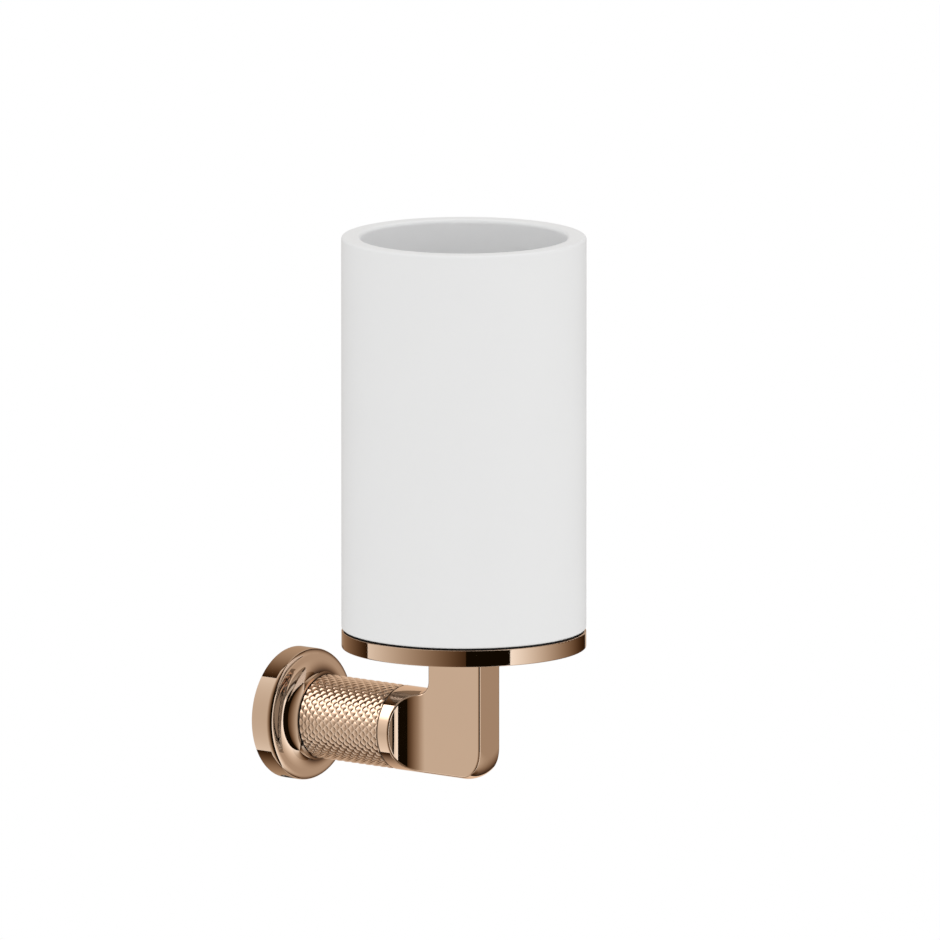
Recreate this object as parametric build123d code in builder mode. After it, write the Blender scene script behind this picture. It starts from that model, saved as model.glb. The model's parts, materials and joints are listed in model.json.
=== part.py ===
from build123d import *
from math import cos, radians, sin
import os

# A wall-mounted tumbler holder: a ceramic cup standing in a round metal dish, carried by an elbow, a knurled
# sleeve and a round rosette.
#
# Millimetres. The origin is where the arm's axis meets the wall. +Z is up, +Y points into the wall and the arm
# reaches out along -Y, so "reach" below is a distance from the wall.

# Cup and the dish that it stands in
cup_radius = 35.0
cup_height = 113.4
cup_wall = 5.5
cup_floor = 5.7
cup_outer_lip = 0.8
cup_inner_lip = 1.1
cup_heel = 0.7
cup_floor_fillet = 6.0
foot_gap = 0.3
foot_hollow_radius = 25.0
foot_hollow_depth = 1.2
foot_edge = 0.5

dish_bottom = 26.0
dish_height = 4.8
dish_floor = 2.4
dish_rim = 2.8
dish_edge = 0.3

seat_thickness = 0.5
seat_radius = 34.2
skirt_thickness = 0.7
skirt_gap = 0.3

# Arm, from the wall out
cup_reach = 62.75
rosette_radius = 19.0
rosette_face = 7.0
rosette_edge = 1.5
rosette_shell = 1.6
neck_radius = 12.0
neck_fillet = 4.0
neck_end = 11.3

gasket_thickness = 0.6
gasket_radius = 11.6

sleeve_radius = 12.15
sleeve_bore = 9.0
sleeve_end = 40.56
sleeve_edge = 0.25

scoop_to_post = 1.2
plate_thickness = 9.4
post_width = 19.0
bar_end = 7.2  # rounding of the round bar's far end, below the post
inner_corner = 3.7
elbow_edge = 0.6

# Wall fixing
hub_radius = 15.0
hub_thickness = 5.0
hub_edge = 0.4
hub_room = 0.2
wall_screw_spacing = 20.0
wall_screw_hole = 2.15
wall_screw_head = 4.2

lock_reach = 3.2
lock_angle = 21.0
lock_groove = 1.0

# Fasteners and fits
clearance = 0.05
spigot_length = 3.5
spigot_web = 3.0
elbow_spigot_length = 5.0
stud_radius = 2.95
stud_start = 5.6
stud_length = 44.0
stud_chamfer = 0.5
thread_depth = 9.6
nut_flats = 10.0
nut_height = 3.2
nut_room = 7.5
washer_radius = 6.0
washer_room = 0.25
washer_thickness = 1.0
spring_thickness = 1.5
spring_radius = 5.4
spring_room = 0.15
spring_split = 1.2
pin_radius = 1.0
pin_length = 5.0
pin_chamfer = 0.2
pin_offset = 10.3
grub_radius = 1.95
grub_length = 4.2
grub_tip = 0.2
grub_sink = 0.5
grub_key = 2.0
dish_screw_radius = 2.0
dish_screw_room = 0.2
dish_screw_head = 3.75
dish_screw_length = 10.0
dish_screw_spacing = 10.0
dish_screw_key = 2.5

# Worked out from the above
wall = Plane.XZ  # its normal points out of the wall, its own x is +X and its own y is +Z
spigot_radius = sleeve_bore - clearance
sleeve_start = neck_end + gasket_thickness
recess_radius = hub_radius + hub_room
recess_depth = rosette_face - rosette_shell
web_front = neck_end + spigot_length
web_back = web_front - spigot_web
post_start = cup_reach - post_width / 2
post_end = cup_reach + post_width / 2
scoop_radius = sleeve_radius - plate_thickness / 2  # a quarter circle from the round arm in to the plate
scoop_end = post_start - scoop_to_post
scoop_start = scoop_end - scoop_radius
dish_radius = cup_radius
dish_recess = dish_radius - dish_rim
dish_top = dish_bottom + dish_height
dish_floor_top = dish_bottom + dish_floor
seat_top = dish_top + seat_thickness
skirt_radius = dish_recess - skirt_gap
foot_radius = skirt_radius - skirt_thickness - skirt_gap
foot_bottom = dish_floor_top + foot_gap
cup_bore = cup_radius - cup_wall
cup_floor_top = seat_top + cup_floor
lock_plane = Plane(
    origin=(0, -lock_reach, 0),
    x_dir=(0, -1, 0),
    z_dir=(-sin(radians(lock_angle)), 0, -cos(radians(lock_angle))),
)
under_cup = Plane((0, -cup_reach, 0))  # level with the arm's axis, centred on the cup's axis
cup_axis = Axis((0, -cup_reach, 0), (0, 0, 1))
low = (Align.CENTER, Align.CENTER, Align.MIN)
high = (Align.CENTER, Align.CENTER, Align.MAX)


def turned(radius, reach):
    """A point of a profile that is revolved about the arm's axis."""
    return (radius, -reach)


def about_cup(radius, height):
    """A point of a profile that is revolved about the cup's axis, drawn on the plane through both axes."""
    return (radius - cup_reach, height)


# Hub: the disc that is screwed to the wall, hidden inside the rosette
with BuildPart() as wall_hub:
    with BuildSketch(wall):
        Circle(hub_radius)
    extrude(amount=hub_thickness)
    chamfer(wall_hub.edges().sort_by(Axis.Y)[0], length=hub_edge)
    with BuildSketch(Plane.XY):
        with BuildLine():
            Polyline(
                turned(hub_radius + lock_groove, lock_reach - 2 * lock_groove),
                turned(hub_radius - lock_groove, lock_reach),
                turned(hub_radius + lock_groove, lock_reach + 2 * lock_groove),
                close=True,
            )
        make_face()
    revolve(axis=Axis.Y, mode=Mode.SUBTRACT)
    with Locations(wall.offset(hub_thickness)):
        with GridLocations(wall_screw_spacing, 0, 2, 1):
            CounterSinkHole(radius=wall_screw_hole, counter_sink_radius=wall_screw_head, counter_sink_angle=90)

# Rosette: the round cover that slips over the hub, with a hollow neck for the sleeve
with BuildPart() as rosette:
    with BuildSketch(Plane.XY):
        with BuildLine():
            Polyline(
                turned(recess_radius, recess_depth),
                turned(recess_radius, 0),
                turned(rosette_radius, 0),
                turned(rosette_radius, rosette_face - rosette_edge),
            )
            JernArc(turned(rosette_radius, rosette_face - rosette_edge), (0, -1), rosette_edge, -90)
            Line(
                turned(rosette_radius - rosette_edge, rosette_face),
                turned(neck_radius + neck_fillet, rosette_face),
            )
            JernArc(turned(neck_radius + neck_fillet, rosette_face), (-1, 0), neck_fillet, 90)
            Polyline(
                turned(neck_radius, rosette_face + neck_fillet),
                turned(neck_radius, neck_end),
                turned(spigot_radius, neck_end),
                turned(spigot_radius, web_front),
                turned(stud_radius + clearance, web_front),
                turned(stud_radius + clearance, web_back),
                turned(nut_room, web_back),
                turned(nut_room, recess_depth),
                turned(recess_radius, recess_depth),
            )
        make_face()
    revolve(axis=Axis.Y)
    with BuildSketch(lock_plane):
        Circle(grub_radius + clearance)
    extrude(amount=rosette_radius + 1, mode=Mode.SUBTRACT)
    with BuildSketch(wall.offset(neck_end)):
        with Locations((0, pin_offset)):
            Circle(pin_radius + clearance)
    extrude(amount=-pin_length / 2, mode=Mode.SUBTRACT)

# Grub screw: locks the rosette on the hub from below
with BuildPart() as grub_screw:
    grub_head = rosette_radius - grub_sink
    grub_cone = grub_radius - grub_tip
    with Locations(lock_plane.offset(grub_head - grub_length)):
        Cone(bottom_radius=grub_tip, top_radius=grub_radius, height=grub_cone, align=low)
    with Locations(lock_plane.offset(grub_head)):
        Cylinder(grub_radius, grub_length - grub_cone, align=high)
    with BuildSketch(lock_plane.offset(grub_head)):
        RegularPolygon(radius=grub_key / 2, side_count=6, major_radius=False)
    extrude(amount=-grub_key, mode=Mode.SUBTRACT)

# Tie stud: pulls the elbow, sleeve and rosette together
with BuildPart() as tie_stud:
    with BuildSketch(wall.offset(stud_start)):
        Circle(stud_radius)
    extrude(amount=stud_length)
    chamfer(tie_stud.edges().filter_by(GeomType.CIRCLE), length=stud_chamfer)

# Nut and washers behind the rosette's web
with BuildPart() as flat_washer:
    with BuildSketch(wall.offset(web_back)):
        Circle(washer_radius)
        Circle(stud_radius + washer_room, mode=Mode.SUBTRACT)
    extrude(amount=-washer_thickness)

spring_front = web_back - washer_thickness
with BuildPart() as spring_washer:
    with BuildSketch(wall.offset(spring_front)):
        Circle(spring_radius)
        Circle(stud_radius + spring_room, mode=Mode.SUBTRACT)
        with Locations((0, spring_radius)):
            Rectangle(spring_split, spring_radius, mode=Mode.SUBTRACT)
    extrude(amount=-spring_thickness)

nut_front = spring_front - spring_thickness
with BuildPart() as lock_nut:
    with BuildSketch(wall.offset(nut_front)):
        RegularPolygon(radius=nut_flats / 2, side_count=6, major_radius=False)
        Circle(stud_radius + clearance, mode=Mode.SUBTRACT)
    extrude(amount=-nut_height)

# Gasket between the rosette's neck and the sleeve
with BuildPart() as sleeve_gasket:
    with BuildSketch(wall.offset(neck_end)):
        Circle(gasket_radius)
        Circle(sleeve_bore, mode=Mode.SUBTRACT)
        with Locations((0, pin_offset)):
            Circle(pin_radius + clearance, mode=Mode.SUBTRACT)
    extrude(amount=gasket_thickness)

# Sleeve: the knurled tube of the arm, drawn as the plain tube that the knurl is cut into
with BuildPart() as sleeve:
    with BuildSketch(wall.offset(sleeve_start)):
        Circle(sleeve_radius)
        Circle(sleeve_bore, mode=Mode.SUBTRACT)
    extrude(amount=sleeve_end - sleeve_start)
    chamfer(sleeve.edges().filter_by(GeomType.CIRCLE).sort_by(SortBy.RADIUS)[-2:], length=sleeve_edge)
    pin_depth = pin_length / 2 - gasket_thickness
    with BuildSketch(wall.offset(sleeve_start)):
        with Locations((0, pin_offset)):
            Circle(pin_radius + clearance)
    extrude(amount=pin_depth + clearance, mode=Mode.SUBTRACT)
    with BuildSketch(wall.offset(sleeve_end)):
        with Locations((0, pin_offset)):
            Circle(pin_radius + clearance)
    extrude(amount=-pin_length / 2, mode=Mode.SUBTRACT)

# Locating pins: keep the sleeve and the elbow square to the rosette
with BuildPart() as rosette_pin:
    with BuildSketch(wall.offset(neck_end - pin_length / 2)):
        with Locations((0, pin_offset)):
            Circle(pin_radius)
    extrude(amount=pin_length)
    chamfer(rosette_pin.edges().filter_by(GeomType.CIRCLE), length=pin_chamfer)

with BuildPart() as elbow_pin:
    with BuildSketch(wall.offset(sleeve_end - pin_length / 2)):
        with Locations((0, pin_offset)):
            Circle(pin_radius)
    extrude(amount=pin_length)
    chamfer(elbow_pin.edges().filter_by(GeomType.CIRCLE), length=pin_chamfer)

# Elbow: a round arm scooped down to a flat plate, which turns up into the post under the dish
with BuildPart() as elbow:
    with BuildSketch(wall.offset(sleeve_end)):
        Circle(sleeve_radius)
    extrude(amount=post_end - sleeve_end)
    fillet(elbow.edges().sort_by(Axis.Y)[0], radius=bar_end)
    with BuildSketch(under_cup):
        Rectangle(2 * sleeve_radius, post_width)
    extrude(amount=dish_bottom)
    # The inner corner flares from the round arm up to the post
    with BuildSketch(Plane.XY):
        with BuildLine():
            Polyline(
                turned(sleeve_radius, post_start - inner_corner),
                turned(0, post_start - inner_corner),
                turned(0, post_start),
                turned(sleeve_radius + inner_corner, post_start),
            )
            JernArc(turned(sleeve_radius + inner_corner, post_start), (-1, 0), inner_corner, -90)
        make_face()
    revolve(axis=Axis.Y, revolution_arc=-180)
    # The outline seen from above keeps the round arm, two scoops and the plate
    with BuildSketch(Plane.XY.offset(-2 * sleeve_radius)):
        with BuildLine():
            Polyline((0, -post_end), (plate_thickness / 2, -post_end), (plate_thickness / 2, -scoop_end))
            JernArc((plate_thickness / 2, -scoop_end), (0, 1), scoop_radius, -90)
            Polyline((sleeve_radius, -scoop_start), (sleeve_radius, -sleeve_end), (0, -sleeve_end))
            mirror(about=Plane.YZ)
        make_face()
    extrude(amount=2 * sleeve_radius + dish_bottom, mode=Mode.INTERSECT)
    # Rounding the post's four upright edges also rounds the scoops' and the plate's edges that run on from them
    post_edges = elbow.edges().filter_by(Axis.Z).filter_by_position(Axis.Z, sleeve_radius, dish_bottom)
    fillet(post_edges, radius=elbow_edge)
    chamfer(elbow.edges().filter_by(GeomType.CIRCLE).sort_by(Axis.Y)[-1], length=sleeve_edge)
    # Spigot for the sleeve, with the stud's thread, the pin's hole and the dish screws' holes
    with BuildSketch(wall.offset(sleeve_end)):
        Circle(spigot_radius)
    extrude(amount=-elbow_spigot_length)
    with BuildSketch(wall.offset(sleeve_end - elbow_spigot_length)):
        Circle(stud_radius + clearance)
    extrude(amount=elbow_spigot_length + thread_depth, mode=Mode.SUBTRACT)
    with BuildSketch(wall.offset(sleeve_end)):
        with Locations((0, pin_offset)):
            Circle(pin_radius + clearance)
    extrude(amount=pin_length / 2, mode=Mode.SUBTRACT)
    with BuildSketch(under_cup.offset(dish_bottom)):
        with GridLocations(0, dish_screw_spacing, 1, 2):
            Circle(dish_screw_radius + clearance)
    extrude(amount=-dish_screw_length, mode=Mode.SUBTRACT)

# Dish: the shallow metal ring and floor that the cup stands in
with BuildPart() as dish:
    with BuildSketch(under_cup.offset(dish_bottom)):
        Circle(dish_radius)
    extrude(amount=dish_height)
    with BuildSketch(under_cup.offset(dish_top)):
        Circle(dish_recess)
    extrude(amount=dish_floor - dish_height, mode=Mode.SUBTRACT)
    fillet(dish.edges().filter_by(GeomType.CIRCLE).sort_by(SortBy.RADIUS)[-2:], radius=dish_edge)
    with Locations(under_cup.offset(dish_floor_top)):
        with GridLocations(0, dish_screw_spacing, 1, 2):
            CounterSinkHole(
                radius=dish_screw_radius + dish_screw_room,
                counter_sink_radius=dish_screw_head + clearance,
                counter_sink_angle=90,
            )

# Countersunk screws that hold the dish on the post
with BuildPart() as dish_screws:
    head_height = dish_screw_head - dish_screw_radius
    with Locations(under_cup.offset(dish_floor_top)):
        with GridLocations(0, dish_screw_spacing, 1, 2):
            Cylinder(dish_screw_radius, dish_screw_length, align=high)
            Cone(dish_screw_radius, dish_screw_head, head_height, align=high)
    with BuildSketch(under_cup.offset(dish_floor_top)):
        with GridLocations(0, dish_screw_spacing, 1, 2):
            RegularPolygon(radius=dish_screw_key / 2, side_count=6, major_radius=False)
    extrude(amount=-head_height, mode=Mode.SUBTRACT)

# Seat ring: the soft ring between dish and cup, a thin flange with a skirt inside the dish
with BuildPart() as seat_ring:
    with BuildSketch(Plane.YZ):
        with BuildLine():
            Polyline(
                about_cup(skirt_radius - skirt_thickness, seat_top),
                about_cup(seat_radius, seat_top),
                about_cup(seat_radius, dish_top),
                about_cup(skirt_radius, dish_top),
                about_cup(skirt_radius, foot_bottom),
                about_cup(skirt_radius - skirt_thickness, foot_bottom),
                close=True,
            )
        make_face()
    revolve(axis=cup_axis)

# Cup: the ceramic tumbler, with a foot that drops inside the seat ring
with BuildPart() as cup:
    with BuildSketch(under_cup.offset(seat_top)):
        Circle(cup_radius)
    extrude(amount=cup_height)
    fillet(cup.edges().sort_by(Axis.Z)[0], radius=cup_heel)
    with BuildSketch(under_cup.offset(cup_floor_top)):
        Circle(cup_bore)
    extrude(amount=cup_height, mode=Mode.SUBTRACT)
    rim = cup.edges().filter_by(GeomType.CIRCLE).group_by(Axis.Z)[-1].sort_by(SortBy.RADIUS)
    fillet(rim[0], radius=cup_inner_lip)
    fillet(rim[-1], radius=cup_outer_lip)
    fillet(cup.faces().filter_by(Axis.Z).sort_by(Axis.Z)[-2].edges(), radius=cup_floor_fillet)
    with BuildSketch(under_cup.offset(foot_bottom)):
        Circle(foot_radius)
    extrude(amount=seat_top - foot_bottom)
    with BuildSketch(under_cup.offset(foot_bottom)):
        Circle(foot_hollow_radius)
    extrude(amount=foot_hollow_depth, mode=Mode.SUBTRACT)
    fillet(cup.faces().sort_by(Axis.Z)[0].edges(), radius=foot_edge)

pieces = {
    "wall_hub": wall_hub,
    "rosette": rosette,
    "grub_screw": grub_screw,
    "tie_stud": tie_stud,
    "lock_nut": lock_nut,
    "spring_washer": spring_washer,
    "flat_washer": flat_washer,
    "sleeve_gasket": sleeve_gasket,
    "sleeve": sleeve,
    "rosette_pin": rosette_pin,
    "elbow_pin": elbow_pin,
    "elbow": elbow,
    "dish": dish,
    "dish_screws": dish_screws,
    "seat_ring": seat_ring,
    "cup": cup,
}
os.makedirs("parts", exist_ok=True)
for name, piece in pieces.items():
    piece.part.label = name
    export_step(piece.part, f"parts/{name}.step")
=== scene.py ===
"""Looks of the wall-mounted tumbler holder: materials, the knurl, soft studio light and the camera."""

import json
import math

import bpy
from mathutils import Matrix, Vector

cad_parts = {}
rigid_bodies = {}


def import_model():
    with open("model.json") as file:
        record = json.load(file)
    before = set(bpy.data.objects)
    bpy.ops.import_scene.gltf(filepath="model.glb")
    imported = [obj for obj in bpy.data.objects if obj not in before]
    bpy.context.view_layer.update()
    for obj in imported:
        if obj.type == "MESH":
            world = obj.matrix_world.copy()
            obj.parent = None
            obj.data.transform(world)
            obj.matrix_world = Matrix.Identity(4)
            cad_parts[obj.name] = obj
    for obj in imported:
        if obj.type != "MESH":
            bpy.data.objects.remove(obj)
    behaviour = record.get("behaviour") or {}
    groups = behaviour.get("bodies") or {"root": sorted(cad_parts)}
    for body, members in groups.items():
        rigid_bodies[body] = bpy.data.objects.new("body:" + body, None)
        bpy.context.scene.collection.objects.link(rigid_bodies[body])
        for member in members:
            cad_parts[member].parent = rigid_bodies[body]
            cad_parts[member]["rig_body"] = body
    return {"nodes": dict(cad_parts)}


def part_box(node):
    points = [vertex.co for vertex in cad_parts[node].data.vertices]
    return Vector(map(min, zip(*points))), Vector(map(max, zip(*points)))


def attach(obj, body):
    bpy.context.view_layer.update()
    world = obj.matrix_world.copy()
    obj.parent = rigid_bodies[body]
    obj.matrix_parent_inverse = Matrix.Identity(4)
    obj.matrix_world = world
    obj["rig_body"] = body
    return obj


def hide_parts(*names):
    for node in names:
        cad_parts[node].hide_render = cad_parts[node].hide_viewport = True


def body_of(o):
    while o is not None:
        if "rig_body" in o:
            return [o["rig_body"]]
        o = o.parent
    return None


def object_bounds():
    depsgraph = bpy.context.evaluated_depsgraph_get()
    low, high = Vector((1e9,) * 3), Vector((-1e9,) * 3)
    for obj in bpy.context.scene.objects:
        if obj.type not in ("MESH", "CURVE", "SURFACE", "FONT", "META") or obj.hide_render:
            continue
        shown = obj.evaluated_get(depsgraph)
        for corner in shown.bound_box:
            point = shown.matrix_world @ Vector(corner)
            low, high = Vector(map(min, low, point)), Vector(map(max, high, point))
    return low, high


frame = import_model()
cad_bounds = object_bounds()
nodes = frame["nodes"]
MM = 0.001

# The knurl, cut into the plain tube of the CAD sleeve
PILLOWS_AROUND = 30
PILLOWS_ALONG = 10.5
PILLOW_STEPS = 10
STEP_CROWDING = 0.2  # 0 spaces a pillow's points evenly; more moves them towards its sides
KNURL_DEPTH = 0.18 * MM
KNURL_CROWN = 2.2  # 2 is a round pillow; more gives a flatter crown with steeper sides
WALL_END_LAND = 0.15 * MM
BAND_END_LAND = 0.35 * MM
SLEEVE_BORE = 9.0 * MM
KNURL_SHARP_ANGLE = 24

# Rose gold plating, face on and at a grazing angle
ROSE_GOLD = (0.85, 0.61, 0.455, 1)
GRAZING_TINT = (0.925, 0.77, 0.643, 1)

# The camera stands off at azimuth and elevation from the point it looks at
CAMERA_AZIMUTH = -51.16
CAMERA_ELEVATION = 9.7
CAMERA_DISTANCE = 9.6
CAMERA_LENS = 1288
CAMERA_SENSOR = 36
CAMERA_REACH = 100
LOOK_AT = Vector((0, -0.0650, 0.0773))

# Studio: upright light panels around the object, each fading from its bright edge to its dark edge.
# Azimuths are in degrees, clockwise from the side that faces the room.
PANELS = (
    {"bright_edge": -154.5, "dark_edge": -49.3, "high": 0.86, "low": 0.032, "falloff": 1.36},
    {"bright_edge": -6.7, "dark_edge": 108, "high": 1.18, "low": 0.012, "falloff": 2.0},
    {"bright_edge": 112, "dark_edge": 205.5, "high": 0.60, "low": 0.010, "falloff": 1.35},
)
FIRST_AZIMUTH = -154.5
UNLIT = (0.0066, 0.0044, 0.0013)  # the red, green and blue that are left between the panels
# Red and blue follow the panels' level to a power, times a factor: dim light is warmer than bright light
RED_POWER, RED_FACTOR = 0.81, 0.934
BLUE_POWER, BLUE_FACTOR = 1.20, 1.03

# Reflections of reflections: a tone for each further one, and some more light from one side
REPEATED_TONE = (0.68, 0.94, 1.26)
FILL = {"faint": -110, "full": -70, "edge": -22, "level": 0.42}
WORLD_FIRST_DEPTH = 2  # the ray depth at which the world, or a card, is seen in a first reflection
CARD_FIRST_DEPTH = 1

# Light for matt surfaces, a little more of it from the room side and from above
SOFT_LIGHT = 0.905
SOFT_LIGHT_LEAN = (-0.02, -0.085, 0.12)

FLOOR_DROP = 0.30
FLOOR_RADIUS = 1.1
FLOOR_SIDES = 128

# Cards of light that only some pieces reflect. A card's glow is given at some elevations in degrees, and it
# fades out from the first azimuth to the second, faster with a higher falloff. Without a tone it is white.
CARD_RADIUS = 1.5
CARD_SPACING = 0.02  # cards at the same distance would hide each other
CARD_COLUMNS = 24
WHITE = (1, 1, 1)
CARDS = (
    {
        "lit": ("sleeve", "elbow"),
        "from": -154.5,
        "to": -100,
        "falloff": 0.25,
        "glow": ((-55, 0.16), (-30, 0.13), (-10, 0.03), (8, 0.22), (18, 0.44), (27, 1.9), (60, 1.9)),
    },
    {"lit": ("sleeve", "elbow"), "from": 112, "to": 200, "falloff": 1.0, "glow": ((-55, 0.36), (50, 0.36))},
    {"lit": ("elbow",), "from": -6.7, "to": 108, "falloff": 0.5, "glow": ((-55, 0.085), (50, 0.085))},
    {"lit": ("rosette",), "from": -6.7, "to": 108, "falloff": 0.5, "glow": ((-55, 0.17), (50, 0.17))},
    # The broad side of the post, seen from behind
    {
        "lit": ("elbow",),
        "from": -49.3,
        "to": -6.7,
        "falloff": 0.3,
        "glow": ((-45, 0.2), (-14, 0.2), (-11, 0)),
        "tone": (1.27, 1, 0.75),
    },
)


# --- Node helpers ---------------------------------------------------------------------------------


class Nodes:
    """A node tree with short calls for adding a node and linking its inputs."""

    def __init__(self, tree):
        self.tree = tree
        tree.nodes.clear()

    def add(self, kind, settings=None, **inputs):
        node = self.tree.nodes.new(kind)
        for name, value in (settings or {}).items():
            setattr(node, name, value)
        for name, value in inputs.items():
            self.put(node.inputs[name.replace("_", " ")], value)
        return node

    def put(self, socket, value):
        if isinstance(value, bpy.types.NodeSocket):
            self.tree.links.new(value, socket)
        else:
            socket.default_value = value

    def math(self, operation, *values):
        node = self.tree.nodes.new("ShaderNodeMath")
        node.operation = operation
        for socket, value in zip(node.inputs, values):
            self.put(socket, value)
        return node.outputs[0]

    def mapped(self, value, from_low, from_high, to_low, to_high):
        node = self.add("ShaderNodeMapRange", {"clamp": True})
        for socket, number in zip(node.inputs, (value, from_low, from_high, to_low, to_high)):
            self.put(socket, number)
        return node.outputs[0]

    def colour(self, red, green, blue):
        return self.add("ShaderNodeCombineColor", Red=red, Green=green, Blue=blue).outputs["Color"]


def material_nodes(name):
    """A new material with a Principled shader; returns it, its nodes and the shader."""
    material = bpy.data.materials.new(name)
    material.use_nodes = True
    tree = Nodes(material.node_tree)
    shader = tree.add("ShaderNodeBsdfPrincipled")
    output = tree.add("ShaderNodeOutputMaterial")
    tree.put(output.inputs["Surface"], shader.outputs["BSDF"])
    return material, tree, shader


def noise(tree, scale, detail=2.0, roughness=0.5, stretch=(1, 1, 1)):
    """Noise in the object's own metres; scale counts its waves per metre."""
    place = tree.add("ShaderNodeTexCoord").outputs["Object"]
    mapping = tree.add("ShaderNodeMapping", Vector=place, Scale=stretch)
    cloud = tree.add("ShaderNodeTexNoise", Vector=mapping.outputs[0], Scale=scale, Detail=detail)
    cloud.inputs["Roughness"].default_value = roughness
    return cloud.outputs["Fac"]


def bump(tree, height, distance):
    return tree.add("ShaderNodeBump", Height=height, Distance=distance, Strength=1).outputs["Normal"]


def tinted(tree, factor, first, second):
    """A colour between two, picked by the factor."""
    mix = tree.add("ShaderNodeMix", {"data_type": "RGBA"})
    tree.put(mix.inputs["Factor"], factor)
    tree.put(mix.inputs["A"], first)
    tree.put(mix.inputs["B"], second)
    return mix.outputs["Result"]


def shade(colour, amount):
    return tuple(channel * amount for channel in colour[:3]) + (1,)


def paint(tree, shader, factor, first, second):
    """A base colour between two, picked by the factor."""
    tree.put(shader.inputs["Base Color"], tinted(tree, factor, first, second))


# --- Materials ------------------------------------------------------------------------------------


def polished_metal():
    """Polished plating: a mirror with faint wiping marks and a slightly uneven colour."""
    material, tree, shader = material_nodes("polished_rose_gold")
    smudge = noise(tree, 90, detail=5, roughness=0.6)
    wipe = noise(tree, 700, detail=3, stretch=(1, 1, 0.15))
    shader.inputs["Metallic"].default_value = 1
    shader.inputs["Specular Tint"].default_value = GRAZING_TINT
    paint(tree, shader, smudge, shade(ROSE_GOLD, 0.985), shade(ROSE_GOLD, 1.015))
    marks = tree.math("MULTIPLY", tree.mapped(smudge, 0.45, 0.75, 0, 1), wipe)
    tree.put(shader.inputs["Roughness"], tree.mapped(marks, 0, 1, 0.03, 0.10))
    return material


def knurled_metal():
    """The same plating on the knurl, a little duller down in the grooves, where its colour is also darkened
    by painted shade.
    """
    material, tree, shader = material_nodes("knurled_rose_gold")
    rise = tree.add("ShaderNodeAttribute", {"attribute_name": "rise"}).outputs["Fac"]
    grain = noise(tree, 2500, detail=2)
    shader.inputs["Metallic"].default_value = 1
    shader.inputs["Specular Tint"].default_value = GRAZING_TINT
    # Painted shade: the base colour falls to 0.8 of the plating down in the grooves
    paint(tree, shader, rise, shade(ROSE_GOLD, 0.80), ROSE_GOLD)
    worn = tree.mapped(rise, 0, 1, 0.12, 0.05)
    tree.put(shader.inputs["Roughness"], tree.math("ADD", worn, tree.math("MULTIPLY", grain, 0.03)))
    return material


def satin_ceramic():
    """White glazed ceramic: satin sheen, a very faint unevenness of the glaze."""
    material, tree, shader = material_nodes("satin_white_ceramic")
    cloud = noise(tree, 35, detail=4, roughness=0.55)
    grain = noise(tree, 1800, detail=2)
    paint(tree, shader, cloud, (0.835, 0.835, 0.835, 1), (0.860, 0.860, 0.860, 1))
    tree.put(shader.inputs["Roughness"], tree.mapped(cloud, 0.3, 0.7, 0.38, 0.44))
    tree.put(shader.inputs["Normal"], bump(tree, grain, 0.02 * MM))
    shader.inputs["Specular IOR Level"].default_value = 0.06
    return material


def black_rubber():
    """Matt black rubber with a fine moulded grain."""
    material, tree, shader = material_nodes("matt_black_rubber")
    grain = noise(tree, 3000, detail=2)
    paint(tree, shader, grain, (0.006, 0.006, 0.006, 1), (0.014, 0.013, 0.012, 1))
    tree.put(shader.inputs["Roughness"], tree.mapped(grain, 0.3, 0.7, 0.55, 0.7))
    tree.put(shader.inputs["Normal"], bump(tree, grain, 0.03 * MM))
    shader.inputs["Specular IOR Level"].default_value = 0.25
    return material


def fastener_steel():
    """Turned stainless steel with fine rings of tool marks."""
    material, tree, shader = material_nodes("turned_steel")
    marks = noise(tree, 4000, detail=2)
    stain = noise(tree, 160, detail=3)
    shader.inputs["Metallic"].default_value = 1
    paint(tree, shader, stain, (0.50, 0.49, 0.47, 1), (0.60, 0.59, 0.575, 1))
    tree.put(shader.inputs["Roughness"], tree.mapped(marks, 0.3, 0.7, 0.22, 0.36))
    tree.put(shader.inputs["Normal"], bump(tree, marks, 0.01 * MM))
    return material


def cast_alloy():
    """Raw cast zinc alloy of the hidden hub: dull, grey and slightly grainy."""
    material, tree, shader = material_nodes("cast_zinc_alloy")
    grain = noise(tree, 1500, detail=4, roughness=0.6)
    cloud = noise(tree, 120, detail=3)
    shader.inputs["Metallic"].default_value = 1
    paint(tree, shader, cloud, (0.38, 0.38, 0.385, 1), (0.50, 0.50, 0.505, 1))
    tree.put(shader.inputs["Roughness"], tree.mapped(grain, 0.3, 0.7, 0.42, 0.6))
    tree.put(shader.inputs["Normal"], bump(tree, grain, 0.05 * MM))
    return material


def pale_floor():
    material, tree, shader = material_nodes("pale_floor")
    cloud = noise(tree, 3, detail=2)
    paint(tree, shader, cloud, (0.86, 0.86, 0.85, 1), (0.88, 0.88, 0.87, 1))
    shader.inputs["Roughness"].default_value = 0.9
    return material


FINISHES = {
    "polished_metal": polished_metal(),
    "knurled_metal": knurled_metal(),
    "cup_ceramic": satin_ceramic(),
    "black_rubber": black_rubber(),
    "fastener_steel": fastener_steel(),
    "hub_alloy": cast_alloy(),
}


def finish_cad_nodes():
    """Every CAD node takes the finish of the record's slot that it came with."""
    for node in nodes.values():
        for place in node.material_slots:
            place.material = FINISHES[place.material.name.split(".")[0]]


# --- Knurled sleeve -------------------------------------------------------------------------------


def knurl_point(column, row):
    """A lattice point, moved towards the nearest groove, and its height: 1 on a crown and 0 in a groove."""
    places, rise = [], 1
    for steps in ((column + row) / 2, (column - row) / 2):
        place = steps / PILLOW_STEPS
        place -= STEP_CROWDING * math.sin(2 * math.pi * place) / (2 * math.pi)
        places.append(place)
        rise *= 1 - abs(2 * (place % 1) - 1) ** KNURL_CROWN
    across, along = places[0] + places[1], places[0] - places[1]
    return across * PILLOW_STEPS, along * PILLOW_STEPS, rise


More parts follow.
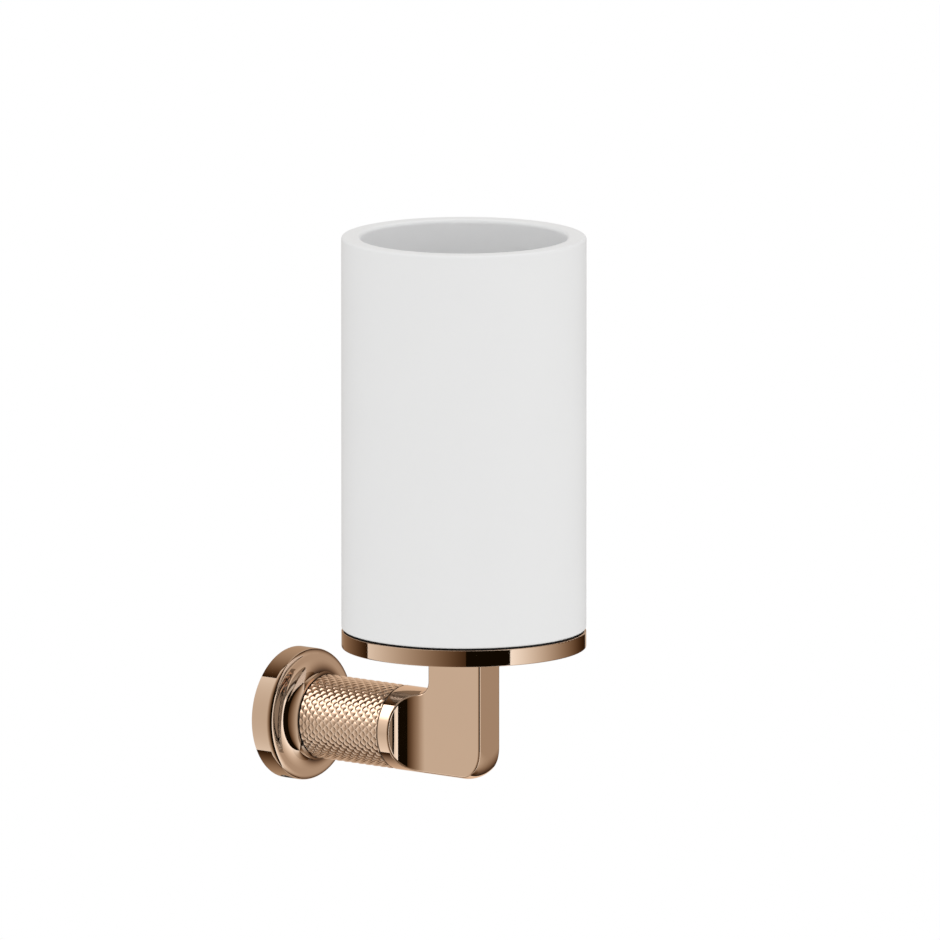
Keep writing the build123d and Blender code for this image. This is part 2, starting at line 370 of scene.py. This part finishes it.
def knurled_sleeve():
    """The sleeve with its knurl as real geometry.

    The knurl's points lie on a lattice turned by 45 degrees, so that its edges run along the grooves.
    """
    low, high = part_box("sleeve")
    radius = high.x
    columns = 2 * PILLOW_STEPS * PILLOWS_AROUND
    rows = round(2 * PILLOW_STEPS * PILLOWS_ALONG)
    knurl_start = high.y - WALL_END_LAND
    row_step = (knurl_start - low.y - BAND_END_LAND) / rows
    points, rises, index = [], [], {}

    def add_point(column, distance, y, rise):
        angle = 2 * math.pi * column / columns
        points.append((distance * math.sin(angle), y, distance * math.cos(angle)))
        rises.append(rise)
        return len(points) - 1

    for row in range(rows + 1):
        for column in range(row % 2, columns, 2):
            across, along, rise = knurl_point(column, row)
            distance = radius - KNURL_DEPTH * (1 - rise)
            index[column, row] = add_point(across, distance, knurl_start - along * row_step, rise)

    faces = []
    for row in range(rows + 1):
        for column in range(1 - row % 2, columns, 2):
            around = [(column - 1, row), (column, row - 1), (column + 1, row), (column, row + 1)]
            corners = [index[a % columns, b] for a, b in around if 0 <= b <= rows]
            faces.append(corners)

    def ring(distance, y):
        return [add_point(column, distance, y, 0) for column in range(0, columns, 2)]

    groove_radius = radius - KNURL_DEPTH
    rings = [
        [index[column, 0] for column in range(0, columns, 2)],
        ring(groove_radius - WALL_END_LAND, high.y),
        ring(SLEEVE_BORE, high.y),
        ring(SLEEVE_BORE, low.y),
        ring(groove_radius - BAND_END_LAND, low.y),
        ring(groove_radius - BAND_END_LAND, low.y + BAND_END_LAND),
        [index[column, rows] for column in range(0, columns, 2)],
    ]
    for near, far in zip(rings, rings[1:]):
        for here in range(len(near)):
            there = (here + 1) % len(near)
            faces.append([near[here], near[there], far[there], far[here]])

    mesh = bpy.data.meshes.new("knurled_sleeve")
    mesh.from_pydata(points, [], faces)
    mesh.attributes.new("rise", "FLOAT", "POINT").data.foreach_set("value", rises)
    mesh.materials.append(FINISHES["knurled_metal"])
    mesh.shade_smooth()
    mesh.set_sharp_from_angle(angle=math.radians(KNURL_SHARP_ANGLE))
    piece = bpy.data.objects.new("knurled_sleeve", mesh)
    bpy.context.scene.collection.objects.link(piece)
    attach(piece, body_of(nodes["sleeve"])[0])
    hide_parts("sleeve")
    return piece


# --- Stage ----------------------------------------------------------------------------------------


def floor():
    """A plain round floor well below the object, left out of mirror reflections."""
    low, high = cad_bounds
    centre = (low + high) / 2
    rim = []
    for side in range(FLOOR_SIDES):
        angle = 2 * math.pi * side / FLOOR_SIDES
        rim.append((FLOOR_RADIUS * math.cos(angle), FLOOR_RADIUS * math.sin(angle), 0))
    mesh = bpy.data.meshes.new("floor")
    mesh.from_pydata(rim, [], [list(range(FLOOR_SIDES))])
    mesh.materials.append(pale_floor())
    disc = bpy.data.objects.new("floor", mesh)
    disc.location = (centre.x, centre.y, low.z - FLOOR_DROP)
    disc.visible_glossy = False
    bpy.context.scene.collection.objects.link(disc)


def panel_light(tree, azimuth, panel):
    """One panel's brightness at an azimuth, and nothing outside its edges."""
    bright, dark = panel["bright_edge"], panel["dark_edge"]
    fade = tree.mapped(azimuth, dark, bright, 0, 1)
    fade = tree.math("POWER", fade, panel["falloff"])
    level = tree.mapped(fade, 0, 1, panel["low"], panel["high"])
    after = tree.math("GREATER_THAN", azimuth, min(bright, dark))
    before = tree.math("LESS_THAN", azimuth, max(bright, dark))
    return tree.math("MULTIPLY", level, tree.math("MULTIPLY", after, before))


def repeated_tone(tree, first_depth):
    """Red, green and blue factors for light that has been reflected more than once."""
    depth = tree.add("ShaderNodeLightPath").outputs["Ray Depth"]
    again = tree.math("MAXIMUM", tree.math("SUBTRACT", depth, first_depth), 0)
    return [tree.math("POWER", factor, again) for factor in REPEATED_TONE]


def studio():
    """Soft even light for matt surfaces, upright graded panels in mirror reflections, white behind it all."""
    world = bpy.data.worlds.new("studio")
    world.use_nodes = True
    bpy.context.scene.world = world
    tree = Nodes(world.node_tree)
    direction = tree.add("ShaderNodeTexCoord").outputs["Generated"]
    parts = tree.add("ShaderNodeSeparateXYZ", Vector=direction).outputs
    azimuth = tree.math("DEGREES", tree.math("ARCTAN2", parts["X"], tree.math("MULTIPLY", parts["Y"], -1)))
    past_start = tree.math("LESS_THAN", azimuth, FIRST_AZIMUTH)
    azimuth = tree.math("ADD", azimuth, tree.math("MULTIPLY", past_start, 360))
    level = 0
    for panel in PANELS:
        level = tree.math("ADD", level, panel_light(tree, azimuth, panel))
    rays = tree.add("ShaderNodeLightPath").outputs
    fill = tree.mapped(azimuth, FILL["faint"], FILL["full"], 0, FILL["level"])
    fill = tree.math("MULTIPLY", fill, tree.math("LESS_THAN", azimuth, FILL["edge"]))
    again = tree.math("GREATER_THAN", rays["Ray Depth"], WORLD_FIRST_DEPTH + 0.5)
    level = tree.math("ADD", level, tree.math("MULTIPLY", fill, again))
    red = tree.math("MULTIPLY", tree.math("POWER", level, RED_POWER), RED_FACTOR)
    blue = tree.math("MULTIPLY", tree.math("POWER", level, BLUE_POWER), BLUE_FACTOR)
    channels = []
    for value, unlit, tone in zip((red, level, blue), UNLIT, repeated_tone(tree, WORLD_FIRST_DEPTH)):
        channels.append(tree.math("MULTIPLY", tree.math("ADD", value, unlit), tone))
    panels = tree.colour(*channels)
    lean = tree.add("ShaderNodeVectorMath", {"operation": "DOT_PRODUCT"})
    tree.put(lean.inputs[0], direction)
    tree.put(lean.inputs[1], SOFT_LIGHT_LEAN)
    even = tree.math("MULTIPLY", tree.math("ADD", lean.outputs["Value"], 1), SOFT_LIGHT)
    soft = tree.colour(even, even, even)
    light = tinted(tree, rays["Is Glossy Ray"], soft, panels)
    light = tinted(tree, rays["Is Camera Ray"], light, (1, 1, 1, 1))
    background = tree.add("ShaderNodeBackground", Color=light)
    output = tree.add("ShaderNodeOutputWorld")
    tree.put(output.inputs["Surface"], background.outputs[0])
    world.cycles.sampling_method = "NONE"


def glow_material(tone):
    """Clear, and as bright as the card's own glow at each point."""
    material = bpy.data.materials.new("glow")
    material.use_nodes = True
    tree = Nodes(material.node_tree)
    strength = tree.add("ShaderNodeAttribute", {"attribute_name": "glow"}).outputs["Fac"]
    channels = [tree.math("MULTIPLY", *pair) for pair in zip(repeated_tone(tree, CARD_FIRST_DEPTH), tone)]
    glow = tree.add("ShaderNodeEmission", Color=tree.colour(*channels), Strength=strength)
    clear = tree.add("ShaderNodeBsdfTransparent")
    both = tree.add("ShaderNodeAddShader")
    tree.put(both.inputs[0], glow.outputs[0])
    tree.put(both.inputs[1], clear.outputs[0])
    output = tree.add("ShaderNodeOutputMaterial")
    tree.put(output.inputs["Surface"], both.outputs[0])
    return material


def glow_at(elevation, stops):
    """The glow at an elevation, in a straight line between the stops on both sides of it."""
    for (low, low_glow), (high, high_glow) in zip(stops, stops[1:]):
        if elevation <= high:
            return low_glow + (high_glow - low_glow) * (elevation - low) / (high - low)


def card_light(light, radius, shown):
    """A curved card of light around the arm, with a row of points for each degree of elevation.

    shown gives the visible piece of each node that the card may light.
    """
    lowest, highest = light["glow"][0][0], light["glow"][-1][0]
    rows = highest - lowest
    points, glows, faces = [], [], []
    for column in range(CARD_COLUMNS + 1):
        part = column / CARD_COLUMNS
        azimuth = math.radians(light["from"] + (light["to"] - light["from"]) * part)
        fade = (1 - part) ** light["falloff"]
        for row in range(rows + 1):
            elevation = lowest + row
            out = radius * math.cos(math.radians(elevation))
            height = radius * math.sin(math.radians(elevation))
            points.append((out * math.sin(azimuth), -out * math.cos(azimuth), height))
            glows.append(fade * glow_at(elevation, light["glow"]))
            if column and row:
                here = len(points) - 1
                faces.append([here, here - 1, here - rows - 2, here - rows - 1])
    mesh = bpy.data.meshes.new("card_light")
    mesh.from_pydata(points, [], faces)
    mesh.attributes.new("glow", "FLOAT", "POINT").data.foreach_set("value", glows)
    mesh.materials.append(glow_material(light.get("tone", WHITE)))
    card = bpy.data.objects.new("card_light", mesh)
    card.location.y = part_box("elbow")[1].y
    card.visible_camera = False
    card.visible_diffuse = False
    card.visible_shadow = False
    card.visible_transmission = False
    bpy.context.scene.collection.objects.link(card)
    lit = bpy.data.collections.new("lit_by_card")
    for name in light["lit"]:
        lit.objects.link(shown[name])
    card.light_linking.receiver_collection = lit


def camera():
    azimuth, elevation = math.radians(CAMERA_AZIMUTH), math.radians(CAMERA_ELEVATION)
    flat = math.cos(elevation)
    back = Vector((math.sin(azimuth) * flat, -math.cos(azimuth) * flat, math.sin(elevation)))
    data = bpy.data.cameras.new("camera")
    data.lens = CAMERA_LENS
    data.sensor_width = CAMERA_SENSOR
    data.clip_end = CAMERA_REACH
    eye = bpy.data.objects.new("camera", data)
    eye.location = LOOK_AT + back * CAMERA_DISTANCE
    eye.rotation_euler = (-back).to_track_quat("-Z", "Y").to_euler()
    bpy.context.scene.collection.objects.link(eye)
    bpy.context.scene.camera = eye


finish_cad_nodes()
visible = {**nodes, "sleeve": knurled_sleeve()}
floor()
studio()
for place, card in enumerate(CARDS):
    card_light(card, CARD_RADIUS + CARD_SPACING * place, visible)
camera()
bpy.context.scene.view_settings.view_transform = "Standard"
